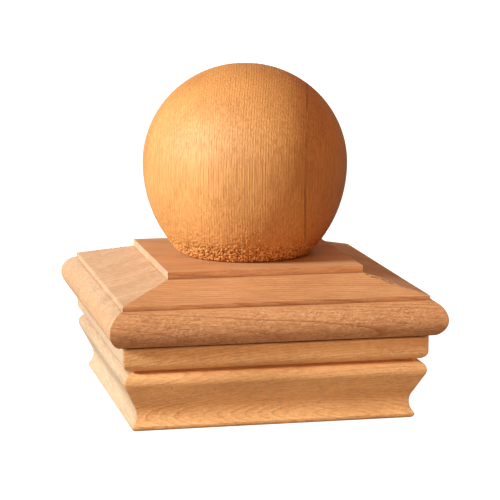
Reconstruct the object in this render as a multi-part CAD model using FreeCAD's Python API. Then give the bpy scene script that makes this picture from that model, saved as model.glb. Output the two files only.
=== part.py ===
import FreeCAD, Part
import math
import os

# Ball-top cap for a square timber fence post, in millimetres.
# +Z is up, the front faces -Y and the right side faces +X.
# The origin is the middle of the post seat: the underside of the block, inside the skirt.

Vec = FreeCAD.Vector
UP = Vec(0, 0, 1)
ORIGIN = Vec(0, 0, 0)

# Skirt: four mitred lengths of one moulding round the post socket.
MOULDING_THICKNESS = 19.0
BAND_HALF = 64.8
SOCKET_HALF = BAND_HALF - MOULDING_THICKNESS
SKIRT_HEIGHT = 36.2
BAND_STRAIGHT = 7.0
QUIRK_HALF = 60.6
QUIRK_TOP = 10.4
BEAD_RADIUS = 3.8
BEAD_CENTRE_DEPTH = 15.0
COVE_RADIUS = 7.4
COVE_INNERMOST_HALF = 58.5
COVE_CENTRE_DEPTH = 29.2
LIP_TOP_DEPTH = 34.2
LIP_CHAMFER = 0.9

# Block: one board with a raised plateau, four bevels and a bull-nosed edge.
BLOCK_THICKNESS = 26.6
PLATEAU_HALF = 42.2
SHOULDER_HEIGHT = 3.0
BEVEL_FOOT_HALF = 65.0
BEVEL_FOOT_HEIGHT = 17.1
STEP_HEIGHT = 1.8
NOSE_HALF = 71.35
NOSE_HEIGHT = 7.7
NOSE_UPPER_MID = (69.3, 12.7)
NOSE_LOWER_MID = (70.2, 3.4)
UNDERSIDE_HALF = 66.0
SEAT_PAD = 5.0

# Ball: turned, a little longer below its equator than above, on a flat foot.
BALL_RADIUS = 44.6
BALL_CENTRE_HEIGHT = 66.1
BALL_UPPER_HEIGHT = 43.3
BALL_LOWER_HEIGHT = 50.3
FOOT_ROUND_HEIGHT = 1.3
FOOT_FLAT_RADIUS = 26.3
FOOT_ROUND_SAG = 0.25

# Screw that holds the ball, driven up through the block from the seat.
SCREW_LENGTH = 70.0
SCREW_RECESS = 0.5
SCREW_HEAD_RADIUS = 6.0
SCREW_HEAD_HEIGHT = 4.0
SCREW_RADIUS = 3.0
SCREW_CORE_RADIUS = 2.1
SCREW_TIP = 5.0
THREAD_PITCH = 2.8
THREAD_CREST = 0.3
THREAD_START = 29.0
SCREW_CLEARANCE = 0.25
DRIVE_HALF = 1.7
DRIVE_DEPTH = 3.0

# Finish nails that hold the skirt to the block, set just under the skirt's lower edge.
BRAD_LENGTH = 50.0
BRAD_RADIUS = 0.8
BRAD_HEAD_RADIUS = 1.25
BRAD_HEAD_HEIGHT = 1.2
BRAD_TIP = 2.5
BRAD_SET_DEPTH = 1.0
BRAD_LINE = 52.3
BRAD_SPREAD = 30.0

# V-nails across the mitres, driven into the skirt's upper edge.
V_NAIL_REACH = 3.2
V_NAIL_SPAN = 5.0
V_NAIL_THICKNESS = 0.7
V_NAIL_DEPTH = 10.0


def face_from(edges):
    return Part.Face(Part.Wire(edges))


def line(a, b):
    return Part.makeLine(a, b)


def arc(a, via, b):
    return Part.Arc(a, via, b).toShape()


def mirrored(point):
    return Vec(-point.x, point.y, point.z)


def square_solid(right_edges, half_length):
    """Solid whose four sides all have the outline that right_edges runs down, from top to bottom."""
    flip = FreeCAD.Matrix()
    flip.A11 = -1
    top = right_edges[0].firstVertex(True).Point
    bottom = right_edges[-1].lastVertex(True).Point
    left_edges = [edge.transformGeometry(flip) for edge in reversed(right_edges)]
    outline = [line(mirrored(top), top)] + right_edges + [line(bottom, mirrored(bottom))] + left_edges
    face = face_from(outline)
    face.translate(Vec(0, -half_length, 0))
    along_y = face.extrude(Vec(0, 2 * half_length, 0))
    along_x = along_y.copy()
    along_x.rotate(ORIGIN, UP, 90)
    return along_y.common(along_x)


def revolved(edges):
    """Solid of revolution about Z, from an outline in the XZ plane that starts and ends on the axis."""
    start = edges[0].firstVertex(True).Point
    end = edges[-1].lastVertex(True).Point
    return face_from(edges + [line(end, start)]).revolve(ORIGIN, UP, 360)


def polyline(points):
    return [line(a, b) for a, b in zip(points, points[1:])]


def four_ways(shape):
    copies = []
    for quarter in range(4):
        copy = shape.copy()
        copy.rotate(ORIGIN, UP, 90 * quarter)
        copies.append(copy)
    return copies


def common_tangent(bead_centre, cove_centre):
    """Ends of the straight flank that runs from the bead's curve into the cove's."""
    across = cove_centre - bead_centre
    turn = math.acos((BEAD_RADIUS + COVE_RADIUS) / across.Length)
    heading = math.atan2(across.z, across.x) + turn
    normal = Vec(math.cos(heading), 0, math.sin(heading))
    return bead_centre + normal * BEAD_RADIUS, cove_centre - normal * COVE_RADIUS


def moulding_outline():
    """Outer outline of the skirt: band, rounded corner, quirk, bead, flank, cove and lip."""
    band_top = Vec(BAND_HALF, 0, 0)
    band_foot = Vec(BAND_HALF, 0, -BAND_STRAIGHT)
    quirk_top = Vec(QUIRK_HALF, 0, -QUIRK_TOP)
    corner_mid = Vec(BAND_HALF - 0.95, 0, -BAND_STRAIGHT - 2.1)
    bead_centre = Vec(QUIRK_HALF, 0, -BEAD_CENTRE_DEPTH)
    bead_top = bead_centre + Vec(0, 0, BEAD_RADIUS)
    bead_mid = bead_centre + Vec(BEAD_RADIUS * math.sqrt(0.5), 0, BEAD_RADIUS * math.sqrt(0.5))
    cove_centre = Vec(COVE_INNERMOST_HALF + COVE_RADIUS, 0, -COVE_CENTRE_DEPTH)
    cove_mid = cove_centre - Vec(COVE_RADIUS, 0, 0)
    flank_top, flank_foot = common_tangent(bead_centre, cove_centre)
    lip_rise = COVE_CENTRE_DEPTH - LIP_TOP_DEPTH
    lip_half = cove_centre.x - math.sqrt(COVE_RADIUS**2 - lip_rise**2)
    lip_top = Vec(lip_half, 0, -LIP_TOP_DEPTH)
    lip_foot = Vec(lip_half, 0, LIP_CHAMFER - SKIRT_HEIGHT)
    base = Vec(lip_half - LIP_CHAMFER, 0, -SKIRT_HEIGHT)
    return [
        line(band_top, band_foot),
        arc(band_foot, corner_mid, quirk_top),
        line(quirk_top, bead_top),
        arc(bead_top, bead_mid, flank_top),
        line(flank_top, flank_foot),
        arc(flank_foot, cove_mid, lip_top),
        line(lip_top, lip_foot),
        line(lip_foot, base),
    ]


def block_outline():
    """Side outline of the block: shoulder, bevel, small step and bull nose."""
    plateau_edge = Vec(PLATEAU_HALF, 0, BLOCK_THICKNESS)
    shoulder_foot = Vec(PLATEAU_HALF, 0, BLOCK_THICKNESS - SHOULDER_HEIGHT)
    bevel_foot = Vec(BEVEL_FOOT_HALF, 0, BEVEL_FOOT_HEIGHT)
    step_foot = Vec(BEVEL_FOOT_HALF, 0, BEVEL_FOOT_HEIGHT - STEP_HEIGHT)
    nose = Vec(NOSE_HALF, 0, NOSE_HEIGHT)
    underside_edge = Vec(UNDERSIDE_HALF, 0, 0)
    upper_mid = Vec(NOSE_UPPER_MID[0], 0, NOSE_UPPER_MID[1])
    lower_mid = Vec(NOSE_LOWER_MID[0], 0, NOSE_LOWER_MID[1])
    return [
        line(plateau_edge, shoulder_foot),
        line(shoulder_foot, bevel_foot),
        line(bevel_foot, step_foot),
        arc(step_foot, upper_mid, nose),
        arc(nose, lower_mid, underside_edge),
    ]


def finial_screw():
    """Countersunk wood screw with a square drive; its thread is drawn as a row of separate crests."""
    head_base = SCREW_RECESS
    tip = SCREW_RECESS + SCREW_LENGTH
    thread_end = tip - SCREW_TIP
    outline = [
        Vec(0, 0, head_base),
        Vec(SCREW_HEAD_RADIUS, 0, head_base),
        Vec(SCREW_RADIUS, 0, head_base + SCREW_HEAD_HEIGHT),
        Vec(SCREW_RADIUS, 0, THREAD_START),
    ]
    z = THREAD_START + THREAD_PITCH / 2
    while z + THREAD_PITCH < thread_end:
        outline += [
            Vec(SCREW_CORE_RADIUS, 0, z),
            Vec(SCREW_RADIUS, 0, z + THREAD_PITCH / 2 - THREAD_CREST / 2),
            Vec(SCREW_RADIUS, 0, z + THREAD_PITCH / 2 + THREAD_CREST / 2),
        ]
        z += THREAD_PITCH
    outline += [Vec(SCREW_CORE_RADIUS, 0, thread_end), Vec(0, 0, tip)]
    screw = revolved(polyline(outline))
    corner = Vec(-DRIVE_HALF, -DRIVE_HALF, head_base)
    drive = Part.makeBox(2 * DRIVE_HALF, 2 * DRIVE_HALF, DRIVE_DEPTH, corner)
    return screw.cut(drive)


def screw_space():
    """What the block leaves open for the screw: countersink, recess and clearance hole."""
    outline = [
        Vec(0, 0, 0),
        Vec(SCREW_HEAD_RADIUS, 0, 0),
        Vec(SCREW_HEAD_RADIUS, 0, SCREW_RECESS),
        Vec(SCREW_RADIUS, 0, SCREW_RECESS + SCREW_HEAD_HEIGHT),
        Vec(SCREW_RADIUS + SCREW_CLEARANCE, 0, SCREW_RECESS + SCREW_HEAD_HEIGHT),
        Vec(SCREW_RADIUS + SCREW_CLEARANCE, 0, BLOCK_THICKNESS),
        Vec(0, 0, BLOCK_THICKNESS),
    ]
    return revolved(polyline(outline))


def finish_nail():
    """One nail standing on the origin, head down."""
    outline = [
        Vec(0, 0, 0),
        Vec(BRAD_HEAD_RADIUS, 0, 0),
        Vec(BRAD_HEAD_RADIUS, 0, BRAD_HEAD_HEIGHT),
        Vec(BRAD_RADIUS, 0, 2 * BRAD_HEAD_HEIGHT),
        Vec(BRAD_RADIUS, 0, BRAD_LENGTH - BRAD_TIP),
        Vec(0, 0, BRAD_LENGTH),
    ]
    return revolved(polyline(outline))


def nail_places():
    places = []
    for quarter in range(4):
        for side in (-1, 1):
            place = FreeCAD.Rotation(UP, 90 * quarter).multVec(Vec(side * BRAD_SPREAD, -BRAD_LINE, 0))
            places.append(place)
    return places


def skirt_nails():
    nails = []
    for place in nail_places():
        nail = finish_nail()
        nail.translate(place + Vec(0, 0, BRAD_SET_DEPTH - SKIRT_HEIGHT))
        nails.append(nail)
    return nails


def nail_mouths():
    """Short holes left under the nail heads where they are set below the wood."""
    base = Vec(0, 0, -SKIRT_HEIGHT)
    return [Part.makeCylinder(BRAD_HEAD_RADIUS, BRAD_SET_DEPTH, place + base) for place in nail_places()]


def v_nails():
    """One bent strip across each mitre, flush with the skirt's upper edge."""
    shift = V_NAIL_THICKNESS * math.sqrt(2)
    outer = [Vec(-V_NAIL_REACH, -V_NAIL_SPAN, 0), Vec(V_NAIL_REACH, 0, 0), Vec(-V_NAIL_REACH, V_NAIL_SPAN, 0)]
    inner = [point - Vec(shift, 0, 0) for point in reversed(outer)]
    strip = face_from(polyline(outer + inner + outer[:1])).extrude(Vec(0, 0, V_NAIL_DEPTH))
    strip.translate(Vec((SOCKET_HALF + BAND_HALF) / math.sqrt(2), 0, -V_NAIL_DEPTH))
    strip.rotate(ORIGIN, UP, 45)
    return four_ways(strip)


def mouldings(nails, v_strips):
    """The four sides of the skirt: front, right, back and left."""
    frame = square_solid(moulding_outline(), BAND_HALF + 5)
    corner = Vec(-SOCKET_HALF, -SOCKET_HALF, -SKIRT_HEIGHT)
    frame = frame.cut(Part.makeBox(2 * SOCKET_HALF, 2 * SOCKET_HALF, SKIRT_HEIGHT, corner))
    reach = BAND_HALF + 10
    low = -SKIRT_HEIGHT - 1
    wedge_points = [Vec(0, 0, low), Vec(-reach, -reach, low), Vec(reach, -reach, low), Vec(0, 0, low)]
    wedge = face_from(polyline(wedge_points)).extrude(Vec(0, 0, SKIRT_HEIGHT + 2))
    fixings = nails + v_strips + nail_mouths()
    return [frame.common(side).cut(fixings) for side in four_ways(wedge)]


def seat_pad():
    corner = Vec(-SOCKET_HALF, -SOCKET_HALF, 0)
    return Part.makeBox(2 * SOCKET_HALF, 2 * SOCKET_HALF, SEAT_PAD, corner)


def cap_block(nails):
    """The block; its underside is two faces, the post seat and the band round it that the skirt meets."""
    block = square_solid(block_outline(), NOSE_HALF + 5)
    block = block.cut(seat_pad()).fuse(seat_pad())
    return block.cut([screw_space()] + nails)


def ball_finial(screw):
    centre = Vec(0, 0, BALL_CENTRE_HEIGHT)
    equator = centre + Vec(BALL_RADIUS, 0, 0)
    lower = Part.Ellipse(centre - Vec(0, 0, BALL_LOWER_HEIGHT), equator, centre)
    upper = Part.Ellipse(equator, centre + Vec(0, 0, BALL_UPPER_HEIGHT), centre)
    foot_drop = BALL_CENTRE_HEIGHT - BLOCK_THICKNESS - FOOT_ROUND_HEIGHT
    foot_angle = math.acos(foot_drop / BALL_LOWER_HEIGHT)
    flank = Part.ArcOfEllipse(lower, foot_angle, math.pi / 2).toShape()
    crown = Part.ArcOfEllipse(upper, 0, math.pi / 2).toBSpline().toShape()
    flank_foot = Vec(BALL_RADIUS * math.sin(foot_angle), 0, BLOCK_THICKNESS + FOOT_ROUND_HEIGHT)
    foot_edge = Vec(FOOT_FLAT_RADIUS, 0, BLOCK_THICKNESS)
    foot_mid = (foot_edge + flank_foot) * 0.5 - Vec(0, 0, FOOT_ROUND_SAG)
    foot = [line(Vec(0, 0, BLOCK_THICKNESS), foot_edge), arc(foot_edge, foot_mid, flank_foot)]
    return revolved(foot + [flank, crown]).cut(screw)


def save(node, solids):
    shape = solids[0] if len(solids) == 1 else Part.makeCompound(solids)
    shape.exportStep("parts/" + node + ".step")


def main():
    os.makedirs("parts", exist_ok=True)
    screw = finial_screw()
    nails = skirt_nails()
    v_strips = v_nails()
    sides = mouldings(nails, v_strips)
    save("ball_finial", [ball_finial(screw)])
    save("finial_screw", [screw])
    save("cap_block", [cap_block(nails)])
    save("front_moulding", [sides[0]])
    save("right_moulding", [sides[1]])
    save("back_moulding", [sides[2]])
    save("left_moulding", [sides[3]])
    save("corner_v_nails", v_strips)
    save("skirt_brads", nails)


main()
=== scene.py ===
import math

import bmesh
import bpy
import numpy as np
from mathutils import Matrix, Vector, noise


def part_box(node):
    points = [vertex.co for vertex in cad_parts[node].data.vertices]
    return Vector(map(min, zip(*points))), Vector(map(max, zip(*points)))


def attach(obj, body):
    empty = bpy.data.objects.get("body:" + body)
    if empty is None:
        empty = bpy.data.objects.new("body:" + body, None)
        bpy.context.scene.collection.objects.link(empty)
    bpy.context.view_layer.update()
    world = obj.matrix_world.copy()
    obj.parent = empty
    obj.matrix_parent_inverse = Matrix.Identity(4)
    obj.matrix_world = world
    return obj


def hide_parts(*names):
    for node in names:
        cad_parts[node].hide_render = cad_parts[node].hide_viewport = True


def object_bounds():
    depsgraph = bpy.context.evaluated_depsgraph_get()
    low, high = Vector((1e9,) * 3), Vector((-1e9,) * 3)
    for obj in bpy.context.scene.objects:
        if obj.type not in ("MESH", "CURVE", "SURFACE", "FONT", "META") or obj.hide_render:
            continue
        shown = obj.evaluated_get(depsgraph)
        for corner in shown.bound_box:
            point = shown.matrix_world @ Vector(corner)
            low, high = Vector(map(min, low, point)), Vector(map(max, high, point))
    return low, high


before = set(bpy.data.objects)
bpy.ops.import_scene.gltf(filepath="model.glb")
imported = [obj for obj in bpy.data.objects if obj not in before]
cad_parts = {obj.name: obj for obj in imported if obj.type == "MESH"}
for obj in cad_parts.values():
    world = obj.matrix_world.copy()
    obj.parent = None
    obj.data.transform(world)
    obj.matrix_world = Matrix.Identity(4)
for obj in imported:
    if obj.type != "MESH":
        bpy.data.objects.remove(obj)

# A ball-top cap for a square timber fence post. Lengths are in millimetres until a mesh is made.
MM = 0.001
CAD_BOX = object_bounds()

# Driving sizes, read from the CAD frame.
BLOCK_HIGH = Vector(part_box("cap_block")[1]) / MM
SKIRT_LOW, SKIRT_HIGH = [Vector(corner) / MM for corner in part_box("front_moulding")]
BALL_HIGH = Vector(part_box("ball_finial")[1]) / MM
SCREW_LOW, SCREW_HIGH = [Vector(corner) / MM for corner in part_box("finial_screw")]
NAIL_LOW = Vector(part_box("skirt_brads")[0]) / MM
BLOCK_TOP = BLOCK_HIGH.z
BAND_HALF = -SKIRT_LOW.y
SOCKET_HALF = -SKIRT_HIGH.y
SKIRT_BOTTOM = SKIRT_LOW.z
BALL_TOP = BALL_HIGH.z
SCREW_HEAD_RADIUS = SCREW_HIGH.x
SCREW_TIP = SCREW_HIGH.z

# Half-widths of the block just past its plateau, where its nose begins to be torn, and where it wholly is.
PLATEAU_REACH = 0.6 * BLOCK_HIGH.x
NOSE_ROOT = BLOCK_HIGH.x - 5.85
NOSE_FULL = BLOCK_HIGH.x - 3.85

# Fixings: radii of the screw holes in the block and in the ball, and least distance between two nails.
SCREW_HOLE = 3.25
SCREW_BORE = 3.0
NAIL_APART = 5.0

# Finish of the wood: eased edges and hips, and the fine joint at each mitre.
EDGE_EASE = 0.35
HIP_EASE = 0.2
JOINT_GAP = 0.05
JOINT_EASE = 0.15
JOINT_DEPTH = 0.35

# Depths of the tool marks and of the tearing; the material paints shade into the deepest, such as the grooves
# in inside corners and under the nose. SINK keeps a surface inside the CAD box; SWELL is its waviness.
BLOCK_SINK = 0.06
BLOCK_SWELL = 0.05
END_FUZZ = 0.06
NOSE_PITS = 0.10
NOSE_CONTACT_SHADE = 0.22
SHOULDER_SINK = 0.10
STEP_GROOVE_SHADE = 0.22
STEP_GROOVE_SHADE_ENDS = 0.05
CHIP_DEPTH = 0.8
MOULDING_SINK = 0.05
MOULDING_SWELL = 0.04
MOULDING_RIPPLE = 0.02
QUIRK_GROOVE_SHADE = 0.22
BLOCK_JOINT_SHADE = 0.3
BALL_SINK = 0.08
BALL_SWELL = 0.05
TUFT_DEPTH = 0.78
CROWN_FUZZ = 0.07

# Fineness of the meshes: spacings along outlines, and counts along a side, round a corner and round the ball.
PROFILE_STEP = 0.6
BACK_STEP = 2.5
SIDE_STEPS = 212
CORNER_STEPS = 4
BALL_STEPS = 550
BALL_UPPER_STEP = 0.9
BALL_LOWER_STEP = 0.33
BALL_WAIST = BLOCK_TOP + 14


# ---------------------------------------------------------------- outlines, from the CAD nodes

def node_points(node):
    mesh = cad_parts[node].data
    flat = np.empty(len(mesh.vertices) * 3)
    mesh.vertices.foreach_get("co", flat)
    return flat.reshape(-1, 3) / MM


def walk(pairs):
    """Orders the points of an outline from its highest, always going on to the nearest one left."""
    left = sorted(pairs, key=lambda pair: pair[1])
    path = [left.pop()]
    while left:
        nearest = min(left, key=lambda pair: math.dist(pair, path[-1]))
        left.remove(nearest)
        if math.dist(nearest, path[-1]) > 0.05:
            path.append(nearest)
    return path


def hip_outline(node, keep):
    """(half-width, height) down the hip where two sides of a CAD node meet."""
    points = node_points(node)
    on_hip = np.abs(np.abs(points[:, 0]) - np.abs(points[:, 1])) < 1e-3
    pairs = {(round(abs(p[0]), 3), round(p[2], 3)) for p in points[on_hip]}
    return walk([pair for pair in pairs if keep(*pair)])


def lathe_outline(node, keep):
    """(radius, height) down the outside of a turned CAD node."""
    points = node_points(node)
    radius = np.hypot(points[:, 0], points[:, 1])
    pairs = {(round(r, 2), round(z, 2)) for r, z in zip(radius, points[:, 2])}
    return walk([pair for pair in pairs if keep(*pair)])


def turn(a, b, c):
    """Signed angle between the two runs of an outline that meet at b; negative where it is convex."""
    first = math.atan2(b[1] - a[1], b[0] - a[0])
    second = math.atan2(c[1] - b[1], c[0] - b[0])
    return (second - first + math.pi) % (2 * math.pi) - math.pi


def eased(path, radius, least=0.45):
    """Rounds off the convex corners of an outline."""
    result = [path[0]]
    for a, b, c in zip(path, path[1:], path[2:]):
        angle = turn(a, b, c)
        if angle > -least:
            result.append(b)
            continue
        back = min(radius * math.tan(-angle / 2), 0.4 * math.dist(a, b), 0.4 * math.dist(b, c))
        start = Vector(b).lerp(Vector(a), back / math.dist(a, b))
        end = Vector(b).lerp(Vector(c), back / math.dist(b, c))
        for step in range(4):
            t = step / 3
            result.append(tuple(start * (1 - t) ** 2 + Vector(b) * 2 * t * (1 - t) + end * t**2))
    return result + [path[-1]]


def resampled(path, step):
    """Even points along an outline that keep its corners."""
    result = []
    run = [path[0]]
    for index in range(1, len(path)):
        run.append(path[index])
        last = index == len(path) - 1
        if last or abs(turn(*path[index - 1:index + 2])) > 0.3:
            line = np.array(run)
            along = np.concatenate([[0], np.cumsum(np.hypot(*np.diff(line, axis=0).T))])
            count = max(1, round(along[-1] / step))
            marks = np.linspace(0, along[-1], count + 1)[:-1]
            result += list(zip(np.interp(marks, along, line[:, 0]), np.interp(marks, along, line[:, 1])))
            run = [path[index]]
    return result + [path[-1]]


# ---------------------------------------------------------------- meshes

def make_object(name, points, faces, sharp=0.6):
    mesh = bpy.data.meshes.new(name)
    mesh.from_pydata((np.asarray(points) * MM).tolist(), [], faces)
    mesh.update()
    tidy = bmesh.new()
    tidy.from_mesh(mesh)
    bmesh.ops.recalc_face_normals(tidy, faces=tidy.faces)
    tidy.to_mesh(mesh)
    tidy.free()
    mesh.shade_smooth()
    mesh.set_sharp_from_angle(angle=sharp)
    obj = bpy.data.objects.new(name, mesh)
    bpy.context.scene.collection.objects.link(obj)
    return obj


def ring_faces(levels, count, closed):
    """Quads between neighbouring rings of count points each."""
    faces = []
    for level in range(levels if closed else levels - 1):
        here = level * count
        above = ((level + 1) % levels) * count
        for i in range(count):
            j = (i + 1) % count
            faces.append((here + i, here + j, above + j, above + i))
    return faces


def square_frame():
    """Directions that place a ring's points: ring = (half - corner) * straight + corner * bend."""
    straight = []
    bend = []
    for side in range(4):
        spin = Matrix.Rotation(side * math.pi / 2, 2)
        for t in np.linspace(-1, 1, SIDE_STEPS + 1):
            straight.append(spin @ Vector((t, -1)))
            bend.append(spin @ Vector((0, -1)))
        for step in range(1, CORNER_STEPS):
            angle = -math.pi / 2 * (1 - step / CORNER_STEPS)
            straight.append(spin @ Vector((1, -1)))
            bend.append(spin @ Vector((math.cos(angle), math.sin(angle))))
    return np.array(straight), np.array(bend)


def fade(low, high, value):
    t = min(1.0, max(0.0, (value - low) / (high - low)))
    return t * t * (3 - 2 * t)


def roughen(obj, surface_at):
    """Moves each vertex along its normal. surface_at(point, normal) gives the move in millimetres, and from
    0 to 1 how torn the wood is and how much of its pale end-grain colour shows, which on the cap block also
    holds painted glare; the material reads all three and paints shade and highlight from the move."""
    mesh = obj.data
    normals = [vertex.normal.copy() for vertex in mesh.vertices]
    states = [surface_at(vertex.co / MM, normal) for vertex, normal in zip(mesh.vertices, normals)]
    for vertex, normal, state in zip(mesh.vertices, normals, states):
        vertex.co += normal * state[0] * MM
    for index, name in enumerate(("relief", "torn", "end_grain")):
        layer = mesh.attributes.new(name, "FLOAT", "POINT")
        layer.data.foreach_set("value", [state[index] for state in states])
    mesh.update()


def wave(point, x, y, z, seed=0.0):
    """Smooth noise from -1 to 1 with the given wavelengths along each axis."""
    return noise.noise(Vector((point.x / x + seed, point.y / y - seed, point.z / z + seed)))


# ---------------------------------------------------------------- cap block

def block_sections():
    """(half-width, height) round the block's section: plateau, sides, underside, countersink, hole."""
    side = hip_outline("cap_block", lambda half, z: z > 0.001 or half > SOCKET_HALF + 1)
    fine = [(0.8 * SOCKET_HALF, BLOCK_TOP)] + side + [(BAND_HALF - 2, 0.0)]
    head_top = SCREW_LOW.z + SCREW_HEAD_RADIUS - SCREW_BORE + 1.0
    plateau = [(half, BLOCK_TOP) for half in (SCREW_HOLE, 0.3 * SOCKET_HALF, 0.6 * SOCKET_HALF)]
    underside = [(share * SOCKET_HALF, 0.0) for share in (1.2, 1.0, 0.8, 0.6, 0.4, 0.2)]
    hole = [
        (SCREW_HEAD_RADIUS + 0.15, 0.0),
        (SCREW_HEAD_RADIUS, 0.15),
        (SCREW_HEAD_RADIUS, SCREW_LOW.z),
        (SCREW_HOLE, head_top),
        (SCREW_HOLE, 0.5 * BLOCK_TOP),
    ]
    return plateau + resampled(eased(fine, EDGE_EASE), PROFILE_STEP) + underside + hole


def inside_corners(path):
    """The points of an outline where it turns into the wood."""
    return [b for a, b, c in zip(path, path[1:], path[2:]) if turn(a, b, c) > 0.5]


def nearness(pair, corners, reach):
    """1 at any of the corners of an outline, falling to 0 at the given reach."""
    return max(1 - fade(0.0, reach, math.dist(pair, corner)) for corner in corners)


def block_surface(corners):
    def surface_at(point, normal):
        """Fuzzy end grain, a torn nose, a scored line in each inside corner, a sunk line at the foot of the
        nose, and hips chipped where the cutter left the wood. The material paints shade into the scored and
        sunk lines.
        The last value is the end-grain share, set higher on left-facing faces than right-facing ones as
        painted glare."""
        side = max(abs(point.x), abs(point.y))
        end_grain = fade(0.25, 0.8, abs(normal.x))
        # Painted glare: the end-grain share, and so the pale end colour, is higher on left-facing faces than
        # on right-facing ones.
        end_grain_and_glare = 0.75 * fade(0.0, 0.38, -normal.x) + 0.35 * fade(0.0, 0.38, normal.x)
        end_grain_and_glare -= 0.4 * fade(0.5, 1.0, abs(normal.x)) * fade(NOSE_ROOT, NOSE_FULL, side)
        amount = BLOCK_SWELL * wave(point, 40, 30, 20) - BLOCK_SINK
        amount += end_grain * END_FUZZ * wave(point, 1.8, 1.8, 1.8, 3.0)
        on_nose = fade(NOSE_ROOT, NOSE_FULL, side) * (1 - end_grain)
        amount -= on_nose * NOSE_PITS * max(0.0, wave(point, 1.5, 1.3, 1.2, 7.0))
        # Painted shade: a sunk line at the foot of the nose, which the material darkens.
        amount -= NOSE_CONTACT_SHADE * (1 - fade(0.1, 0.6, point.z)) * fade(SOCKET_HALF, BAND_HALF, side)
        inner = 1 - fade(NOSE_ROOT - 0.5, NOSE_ROOT + 1.0, side)
        amount -= SHOULDER_SINK * fade(0.8, 0.95, abs(normal.y)) * inner
        # Painted shade: the scored lines in the inside corners are darkened by the material, less on the
        # end-grain sides.
        groove_shade_depth = STEP_GROOVE_SHADE if abs(point.y) > abs(point.x) else STEP_GROOVE_SHADE_ENDS
        amount -= groove_shade_depth * nearness((side, point.z), corners, 0.8)
        from_hip = abs(abs(point.x) - abs(point.y)) / math.sqrt(2)
        chips = CHIP_DEPTH * max(0.0, wave(point, 1.3, 1.1, 1.0, 11.0) + 0.2)
        near_plateau = fade(PLATEAU_REACH, PLATEAU_REACH + 1.0, side) * (1 - fade(50, 63, side))
        leaving = point.x * point.y < 0 and normal.z > 0
        amount -= leaving * (1 - fade(0.2, 2.0, from_hip)) * near_plateau * chips
        return amount, 0.2 + 0.65 * on_nose + 0.55 * end_grain, end_grain_and_glare
    return surface_at


def make_cap_block():
    straight, bend = square_frame()
    round_way = straight + 1e-9
    round_way = round_way / np.linalg.norm(round_way, axis=1)[:, None]
    rings = []
    sections = block_sections()
    for half, z in sections:
        square = (half - HIP_EASE) * straight + HIP_EASE * bend
        circle = half * round_way
        squareness = fade(12, 30, half)
        flat = circle + (square - circle) * squareness
        rings.append(np.column_stack([flat, np.full(len(flat), z)]))
    faces = ring_faces(len(rings), len(straight), True)
    block = make_object("cedar_block", np.vstack(rings), faces)
    corners = [pair for pair in inside_corners(sections) if pair[0] > SOCKET_HALF * 0.9]
    roughen(block, block_surface(corners))
    return block


# ---------------------------------------------------------------- skirt mouldings

def moulding_section():
    """Closed section of one moulding as (distance from the cap's axis, height)."""
    inner_part = SOCKET_HALF + 0.65 * (BAND_HALF - SOCKET_HALF)
    outside = hip_outline("front_moulding", lambda half, z: half > inner_part)
    loop = [(SOCKET_HALF + 4, 0.0)] + outside + [(SOCKET_HALF + 4, SKIRT_BOTTOM)]
    loop = resampled(eased(loop, EDGE_EASE), PROFILE_STEP)
    back = [(SOCKET_HALF, SKIRT_BOTTOM), (SOCKET_HALF, 0.0)]
    back = resampled([loop[-1]] + back + [loop[0]], BACK_STEP)
    return loop + back[1:-1]


def unit_rows(vectors):
    return vectors / np.linalg.norm(vectors, axis=1)[:, None]


def section_normals(section):
    points = np.array(section)
    ahead = np.roll(points, -1, axis=0) - points
    behind = points - np.roll(points, 1, axis=0)
    tangent = unit_rows(ahead) + unit_rows(behind)
    tangent = unit_rows(tangent)
    return np.column_stack([-tangent[:, 1], tangent[:, 0]])


def nail_spots():
    """Middles of the nail heads, from the lowest points of the nails' node."""
    points = node_points("skirt_brads")
    heads = points[points[:, 2] < NAIL_LOW.z + 0.01]
    spots = []
    for x, y, _ in heads:
        if all(math.dist((x, y), spot) > NAIL_APART for spot in spots):
            head = heads[np.hypot(heads[:, 0] - x, heads[:, 1] - y) < NAIL_APART]
            middle = (head.min(axis=0) + head.max(axis=0)) / 2
            spots.append((middle[0], middle[1]))
    return spots


def moulding_surface(seed, corners, nails):
    nail_depth = NAIL_LOW.z - SKIRT_BOTTOM + 0.15

    def surface_at(point, normal):
        """Almost flat, with a scored line in the quirk, a groove along the joint under the cap block and a
        dimple punched over each nail; the material paints shade into the scored line and the groove."""
        side = max(abs(point.x), abs(point.y))
        amount = MOULDING_SWELL * wave(point, 35, 35, 12, seed) - MOULDING_SINK
        outside = fade(SOCKET_HALF + 6, SOCKET_HALF + 8, side)
        amount += outside * MOULDING_RIPPLE * wave(point, 6, 6, 0.9, seed + 5)
        from_mitre = abs(abs(point.x) - abs(point.y)) / math.sqrt(2)
        inland = outside * fade(0.2, 1.5, from_mitre)
        # Painted shade: the scored quirk line and the groove under the cap block are darkened by the
        # material.
        amount -= inland * QUIRK_GROOVE_SHADE * nearness((side, point.z), corners, 0.9)
        amount -= inland * BLOCK_JOINT_SHADE * (1 - fade(0.4, 1.2, -point.z))
        if point.z < SKIRT_BOTTOM + 0.01:
            from_nail = min(math.dist(point.xy, nail) for nail in nails)
            amount -= nail_depth * (1 - fade(1.2, 1.9, from_nail))
        return amount, 0.45, 0.0
    return surface_at


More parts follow.
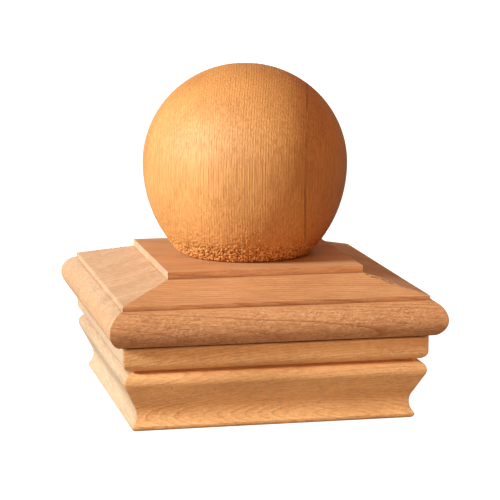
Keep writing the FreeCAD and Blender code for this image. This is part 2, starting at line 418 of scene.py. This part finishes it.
def make_moulding(name, quarter):
    section = moulding_section()
    inward = section_normals(section)
    ends = np.array([0.0, 0.12, JOINT_DEPTH]) / BAND_HALF
    marks = np.concatenate([-1 + ends, np.linspace(-1, 1, SIDE_STEPS - 20)[1:-1], 1 - ends[::-1]])
    spin = np.array(Matrix.Rotation(quarter * math.pi / 2, 3, "Z"))
    rows = []
    for mark in marks:
        depth = JOINT_EASE * max(0.0, 1 - (1 - abs(mark)) * BAND_HALF / JOINT_DEPTH)
        row = [(mark * (half - JOINT_GAP), -half, z) for half, z in section]
        shrink = np.column_stack([np.zeros(len(section)), -inward[:, 0], inward[:, 1]]) * depth
        rows.append((np.array(row) - shrink) @ spin.T)
    count = len(section)
    faces = ring_faces(len(marks), count, False)
    faces.append(tuple(range(count)))
    faces.append(tuple(range((len(marks) - 1) * count, len(marks) * count))[::-1])
    piece = make_object(name, np.vstack(rows), faces)
    quirk = [pair for pair in inside_corners(section) if pair[0] > SOCKET_HALF + 8]
    roughen(piece, moulding_surface(quarter * 13.7, quirk, nail_spots()))
    return piece


# ---------------------------------------------------------------- ball

def ball_surface(point, normal):
    """Smooth round the middle and in the bore, woolly near the top and torn into pits just above the foot."""
    if math.hypot(point.x, point.y) < 2 * SCREW_BORE and point.z < SCREW_TIP + 1:
        return -BALL_SINK, 0.35, 0.0
    height = point.z - BLOCK_TOP
    low = 0.35 * (1 - fade(4.0, 26.0, height)) + 0.65 * (1 - fade(2.5, 11.0, height))
    low *= fade(0.0, 0.6, height)
    pits = wave(point, 0.65, 0.65, 1.9) + 0.6 * wave(point, 0.5, 0.5, 1.0, 5.0)
    end_grain = fade(0.45, 0.95, abs(normal.z))
    wool = wave(point, 0.9, 0.9, 0.9, 1.0)
    amount = BALL_SWELL * wave(point, 28, 28, 28) - BALL_SINK
    amount += TUFT_DEPTH * low * max(-0.42, min(pits, 0.5))
    torn = max(0.35, 0.7 * end_grain, min(0.85, 1.2 * low))
    return amount + CROWN_FUZZ * end_grain * wool, torn, end_grain


def make_ball():
    outside = lathe_outline("ball_finial", lambda radius, z: radius > SCREW_HEAD_RADIUS)
    upper = [(0.4, BALL_TOP)] + [pair for pair in outside if pair[1] >= BALL_WAIST]
    lower = [upper[-1]] + [pair for pair in outside if pair[1] < BALL_WAIST]
    bore = [
        (2 * SCREW_BORE, BLOCK_TOP),
        (SCREW_BORE, BLOCK_TOP),
        (SCREW_BORE, SCREW_TIP - 5),
        (0.2, SCREW_TIP),
    ]
    outline = resampled(upper, BALL_UPPER_STEP)[:-1] + resampled(lower, BALL_LOWER_STEP) + bore
    angles = np.linspace(0, 2 * math.pi, BALL_STEPS, endpoint=False)
    rings = [
        np.column_stack([r * np.cos(angles), r * np.sin(angles), np.full(BALL_STEPS, z)])
        for r, z in outline
    ]
    faces = ring_faces(len(rings), BALL_STEPS, False)
    faces.append(tuple(range(BALL_STEPS)))
    faces.append(tuple(range((len(rings) - 1) * BALL_STEPS, len(rings) * BALL_STEPS)))
    ball = make_object("turned_ball", np.vstack(rings), faces)
    roughen(ball, ball_surface)
    return ball


# ---------------------------------------------------------------- materials

class Graph:
    """Short calls for building one material's nodes."""

    def __init__(self, name):
        self.material = bpy.data.materials.new(name)
        self.material.use_nodes = True
        self.tree = self.material.node_tree
        self.tree.nodes.clear()

    def add(self, kind, inputs=(), **settings):
        node = self.tree.nodes.new(kind)
        for key, value in settings.items():
            setattr(node, key, value)
        for key, value in dict(inputs).items():
            if isinstance(value, bpy.types.NodeSocket):
                self.tree.links.new(value, node.inputs[key])
            else:
                node.inputs[key].default_value = value
        return node

    def math(self, operation, *values, clamp=False):
        node = self.add("ShaderNodeMath", enumerate(values), operation=operation, use_clamp=clamp)
        return node.outputs[0]

    def scaled(self, vector, x, y, z):
        node = self.add("ShaderNodeVectorMath", {0: vector, 1: (x, y, z)}, operation="MULTIPLY")
        return node.outputs[0]

    def noise(self, vector, scale=1.0, detail=3.0, roughness=0.55):
        inputs = {"Vector": vector, "Scale": scale, "Detail": detail, "Roughness": roughness}
        return self.add("ShaderNodeTexNoise", inputs).outputs["Fac"]

    def fade(self, value, low, high):
        inputs = {"Value": value, "From Min": low, "From Max": high}
        return self.add("ShaderNodeMapRange", inputs, interpolation_type="SMOOTHSTEP").outputs[0]

    def ramp(self, value, stops):
        node = self.add("ShaderNodeValToRGB", {"Fac": value})
        elements = node.color_ramp.elements
        while len(elements) < len(stops):
            elements.new(0.5)
        for element, (place, colour) in zip(elements, stops):
            element.position = place
            element.color = (*colour, 1.0)
        return node.outputs["Color"]

    def mix(self, factor, a, b, blend="MIX"):
        node = self.add("ShaderNodeMix", data_type="RGBA", blend_type=blend)
        for key, value in ((0, factor), (6, a), (7, b)):
            if isinstance(value, bpy.types.NodeSocket):
                self.tree.links.new(value, node.inputs[key])
            else:
                node.inputs[key].default_value = value if key == 0 else (*value, 1.0)
        return node.outputs[2]


def dimmed(colour, share):
    return tuple(share * channel for channel in colour)


def cedar(
    name, turn_to_grain, lean, pith, spacing, early, late, end,
    lines=0.8, bends=3.0, streak=None,
):
    """Unfinished cedar. turn_to_grain rotates the object so that the piece's grain runs along local Z, and
    lean then tilts the growth rings; pith is their middle and spacing their width, in millimetres. streak,
    if any, is (distance from pith, width, strength) of a dark line that fades out just above the block."""
    g = Graph(name)
    place = g.add("ShaderNodeTexCoord")
    local = g.add(
        "ShaderNodeMapping",
        {"Vector": place.outputs["Object"], "Rotation": turn_to_grain, "Scale": (1000, 1000, 1000)},
    ).outputs[0]
    relief, torn, end_grain = [
        g.add("ShaderNodeAttribute", attribute_name=layer).outputs["Fac"]
        for layer in ("relief", "torn", "end_grain")
    ]

    bend = g.noise(g.scaled(local, 0.02, 0.02, 0.012), 1.0, 2.0)
    ripple = g.noise(g.scaled(local, 0.12, 0.12, 0.03), 1.0, 2.0)
    tilted = g.add("ShaderNodeMapping", {"Vector": local, "Rotation": lean}).outputs[0]
    part = g.add("ShaderNodeSeparateXYZ", {0: tilted})
    u = g.math("SUBTRACT", part.outputs[0], pith[0])
    v = g.math("SUBTRACT", part.outputs[1], pith[1])
    radius = g.math("SQRT", g.math("ADD", g.math("MULTIPLY", u, u), g.math("MULTIPLY", v, v)))
    radius = g.math("ADD", radius, g.math("MULTIPLY", bend, bends))
    radius = g.math("ADD", radius, g.math("MULTIPLY", ripple, 0.6))
    growth = g.math("DIVIDE", radius, spacing)
    ring = g.math("FRACT", growth)
    year = g.math("FLOOR", growth)
    chance = g.add("ShaderNodeTexWhiteNoise", {"W": year}, noise_dimensions="1D").outputs["Value"]

    grey = [(0.0, 0.25), (0.08, 0.0), (0.55, 0.08), (0.80, 0.50), (0.93, 1.0), (1.0, 0.25)]
    latewood = g.ramp(ring, [(spot, (level, level, level)) for spot, level in grey])
    latewood = g.math("MULTIPLY", latewood, g.math("ADD", g.math("MULTIPLY", chance, 0.75), 0.25))
    fibre = g.noise(g.scaled(tilted, 1.3, 1.3, 0.06), 1.0, 4.0, 0.7)
    fibre_line = g.fade(fibre, 0.38, 0.66)
    specks = g.noise(g.scaled(local, 1.5, 1.5, 0.6), 1.0, 3.0, 0.75)
    pores = g.fade(specks, 0.54, 0.66)
    fluff = g.fade(specks, 0.46, 0.34)
    cloud = g.noise(g.scaled(local, 0.05, 0.05, 0.02), 1.0, 3.0)
    patch = g.fade(g.noise(g.scaled(local, 0.11, 0.11, 0.05), 1.0, 2.0), 0.42, 0.62)
    rough = g.math("MULTIPLY", g.math("ADD", g.math("MULTIPLY", patch, 0.5), 0.5), torn)

    # On the cap block this end-grain share also carries painted glare, so its left-facing side is paler.
    base = g.mix(end_grain, early, end)
    base = g.mix(g.math("MULTIPLY", latewood, lines), base, late)
    base = g.mix(g.math("MULTIPLY", fibre_line, 0.5), base, late)
    base = g.mix(g.math("MULTIPLY", pores, rough), base, dimmed(late, 0.7))
    base = g.mix(g.math("MULTIPLY", g.math("MULTIPLY", fluff, rough), 0.7), base, dimmed(end, 1.3))
    tone = g.ramp(cloud, [(0.30, (0.86, 0.82, 0.78)), (0.50, (1.0, 1.0, 1.0)), (0.70, (1.07, 1.09, 1.11))])
    base = g.mix(1.0, base, tone, "MULTIPLY")
    if streak:
        spot, width, strength = streak
        away = g.math("ABSOLUTE", g.math("SUBTRACT", radius, spot))
        line = g.math("SUBTRACT", 1.0, g.fade(away, 0.0, width))
        line = g.math("MULTIPLY", line, g.fade(cloud, 0.36, 0.50))
        line = g.math("MULTIPLY", line, g.fade(part.outputs[2], BLOCK_TOP, BLOCK_TOP + 18))
        # Heartwood tint that also stands for painted shade: it grows across the ball's +x side, away from the
        # pith.
        heartwood_and_shade = g.math("MULTIPLY", g.fade(radius, spot - 10, spot + 8), 0.85)
        base = g.mix(heartwood_and_shade, base, HEARTWOOD_AND_SHADE_TINT, "MULTIPLY")
        base = g.mix(g.math("MULTIPLY", line, strength), base, dimmed(late, 0.45))
    # Painted shade: the colour darkens where the surface is sunk deepest, in pits, chips, dimples and
    # grooves.
    base = g.mix(g.math("MULTIPLY", g.fade(relief, -0.12, -0.35), 0.8), base, dimmed(late, 0.45))
    # Painted highlight: raised tufts and swells are lightened.
    base = g.mix(g.math("MULTIPLY", g.fade(relief, 0.0, 0.15), 0.8), base, dimmed(early, 1.3))

    height = g.math("MULTIPLY", fibre, 0.7)
    height = g.math("ADD", height, g.math("MULTIPLY", latewood, 0.3))
    height = g.math("SUBTRACT", height, g.math("MULTIPLY", g.math("MULTIPLY", specks, rough), 1.6))
    bump = g.add("ShaderNodeBump", {"Height": height, "Strength": 0.9, "Distance": 0.0004})
    gloss = g.math("ADD", g.math("MULTIPLY", fibre, 0.25), 0.42)
    shader = g.add(
        "ShaderNodeBsdfPrincipled",
        {"Base Color": base, "Roughness": gloss, "Normal": bump.outputs[0], "Specular IOR Level": 0.30},
    )
    g.add("ShaderNodeOutputMaterial", {"Surface": shader.outputs[0]})
    return g.material


def steel(name, colour, roughness, spots):
    """Plated steel with a fine speckle in its gloss and bump, and dull zinc spots."""
    g = Graph(name)
    place = g.add("ShaderNodeTexCoord").outputs["Object"]
    speckle = g.noise(g.scaled(place, 900, 900, 900), 1.0, 4.0)
    cloud = g.noise(g.scaled(place, 220, 220, 220), 1.0, 3.0)
    dark = dimmed(colour, 0.55)
    base = g.mix(g.math("MULTIPLY", g.fade(cloud, 0.35, 0.7), spots), colour, dark)
    gloss = g.math("ADD", g.math("MULTIPLY", speckle, 0.3), roughness)
    bump = g.add("ShaderNodeBump", {"Height": speckle, "Strength": 0.3, "Distance": 0.00005})
    shader = g.add(
        "ShaderNodeBsdfPrincipled",
        {"Base Color": base, "Roughness": gloss, "Normal": bump.outputs[0], "Metallic": 1.0},
    )
    g.add("ShaderNodeOutputMaterial", {"Surface": shader.outputs[0]})
    return g.material


def paint(obj, material):
    obj.data.materials.clear()
    obj.data.materials.append(material)


# ---------------------------------------------------------------- assembly

QUARTER = math.pi / 2

# Rotations that bring the grain of a piece to local Z: upright, along X and along Y.
GRAIN_UP = (0.0, 0.0, 0.0)
GRAIN_X = (0.0, -QUARTER, 0.0)
GRAIN_Y = (QUARTER, 0.0, 0.0)
# Heartwood tint, which also paints shade on the ball's +x side.
HEARTWOOD_AND_SHADE_TINT = (0.95, 0.78, 0.58)

BALL_WOOD = cedar(
    "ball_cedar", GRAIN_UP, (0.0, 0.0, 0.0), (-585.0, 134.0), 1.08,
    early=(0.71, 0.29, 0.081), late=(0.40, 0.115, 0.022), end=(0.64, 0.240, 0.060),
    lines=0.36, bends=1.5, streak=(627.8, 0.6, 0.7),
)
BLOCK_WOOD = cedar(
    "block_cedar", GRAIN_X, (-0.11, 0.03, 0.0), (-260.0, 330.0), 1.7,
    early=(0.685, 0.29, 0.112), late=(0.44, 0.138, 0.040), end=(0.65, 0.435, 0.27),
    lines=1.0, bends=5.0,
)
FACE_WOOD = {
    "early": (0.95, 0.465, 0.180), "late": (0.66, 0.26, 0.080), "end": (0.88, 0.50, 0.22),
    "lines": 0.7, "bends": 2.5,
}
# Painted glare: a paler, less saturated copy of the moulding wood, used for the left moulding.
GLARE_PALE_WOOD = {
    "early": (0.61, 0.355, 0.205), "late": (0.46, 0.225, 0.105), "end": (0.64, 0.40, 0.24),
    "lines": 0.6, "bends": 2.5,
}
SIDE_WOODS = {
    "front": cedar("front_cedar", GRAIN_X, (-0.20, 0.0, 0.0), (33.0, -52.0), 1.1, **FACE_WOOD),
    "right": cedar("right_cedar", GRAIN_Y, (0.05, 0.06, 0.0), (-10.0, 24.0), 1.2, **FACE_WOOD),
    "back": cedar("back_cedar", GRAIN_X, (0.08, -0.04, 0.0), (12.0, 15.0), 1.1, **FACE_WOOD),
    "left": cedar("left_cedar", GRAIN_Y, (-0.04, 0.04, 0.0), (-60.0, 30.0), 1.2, **GLARE_PALE_WOOD),
}
SCREW_STEEL = steel("zinc_screw", (0.62, 0.58, 0.48), 0.25, 0.5)
NAIL_STEEL = steel("galvanised_nail", (0.50, 0.50, 0.50), 0.35, 0.7)


def fit_piece(piece, node, material):
    paint(piece, material)
    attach(piece, "root")
    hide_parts(node)


fit_piece(make_ball(), "ball_finial", BALL_WOOD)
fit_piece(make_cap_block(), "cap_block", BLOCK_WOOD)
for quarter, side in enumerate(("front", "right", "back", "left")):
    piece = make_moulding("skirt_" + side, quarter)
    fit_piece(piece, side + "_moulding", SIDE_WOODS[side])
paint(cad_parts["finial_screw"], SCREW_STEEL)
paint(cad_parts["corner_v_nails"], NAIL_STEEL)
paint(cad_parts["skirt_brads"], NAIL_STEEL)


# ---------------------------------------------------------------- stage, light and camera

def make_floor():
    """A floor that looks almost white to the camera but throws back only about a quarter of its light."""
    mesh = bpy.data.meshes.new("floor")
    half = 3.0
    low = CAD_BOX[0][2]
    corners = [(-half, -half, low), (half, -half, low), (half, half, low), (-half, half, low)]
    mesh.from_pydata(corners, [], [(0, 1, 2, 3)])
    floor = bpy.data.objects.new("floor", mesh)
    bpy.context.scene.collection.objects.link(floor)
    g = Graph("pale_floor")
    seen = g.add("ShaderNodeLightPath").outputs["Is Camera Ray"]
    matt = g.add("ShaderNodeBsdfDiffuse", {"Color": (0.28, 0.25, 0.22, 1.0)})
    glow = g.add("ShaderNodeEmission", {"Strength": g.math("MULTIPLY", seen, 0.97)})
    both = g.add("ShaderNodeAddShader", {0: matt.outputs[0], 1: glow.outputs[0]})
    g.add("ShaderNodeOutputMaterial", {"Surface": both.outputs[0]})
    paint(floor, g.material)


def aim(obj, position, target, roll=0.0):
    way = Vector(target) - Vector(position)
    obj.location = position
    facing = way.to_track_quat("-Z", "Y")
    obj.rotation_euler = (facing @ Matrix.Rotation(roll, 3, "Z").to_quaternion()).to_euler()


def make_sun(name, towards, energy, softness, colour):
    data = bpy.data.lights.new(name, "SUN")
    data.energy = energy
    data.angle = math.radians(softness)
    data.color = colour
    light = bpy.data.objects.new(name, data)
    bpy.context.scene.collection.objects.link(light)
    aim(light, towards, (0.0, 0.0, 0.0))


def make_world(strength, colour):
    """White where the camera sees it, and a weak fill of the given colour for the object."""
    world = bpy.data.worlds.new("studio")
    world.use_nodes = True
    tree = world.node_tree
    fill = tree.nodes["Background"]
    fill.inputs["Color"].default_value = colour
    fill.inputs["Strength"].default_value = strength
    white = tree.nodes.new("ShaderNodeBackground")
    white.inputs["Color"].default_value = (1.0, 1.0, 1.0, 1.0)
    seen = tree.nodes.new("ShaderNodeLightPath")
    choice = tree.nodes.new("ShaderNodeMixShader")
    tree.links.new(seen.outputs["Is Camera Ray"], choice.inputs[0])
    tree.links.new(fill.outputs[0], choice.inputs[1])
    tree.links.new(white.outputs[0], choice.inputs[2])
    tree.links.new(choice.outputs[0], tree.nodes["World Output"].inputs["Surface"])
    bpy.context.scene.world = world


def make_camera(position, target, roll, lens):
    data = bpy.data.cameras.new("camera")
    data.lens = lens
    data.sensor_width = 36.0
    camera = bpy.data.objects.new("camera", data)
    bpy.context.scene.collection.objects.link(camera)
    aim(camera, position, target, math.radians(roll))
    bpy.context.scene.camera = camera


make_floor()
make_world(strength=0.44, colour=(1.0, 0.66, 0.44, 1.0))
make_sun("key", towards=(-0.90, -0.18, 0.40), energy=7.5, softness=14.0, colour=(0.61, 0.85, 1.0))
make_sun("fill", towards=(-0.50, -0.80, 0.30), energy=1.0, softness=30.0, colour=(1.0, 0.82, 0.65))
make_camera(position=(-0.2008, -0.8891, 0.1871), target=(0.0025, 0.0, 0.0272), roll=0.36, lens=151.84)
bpy.context.scene.view_settings.view_transform = "Standard"
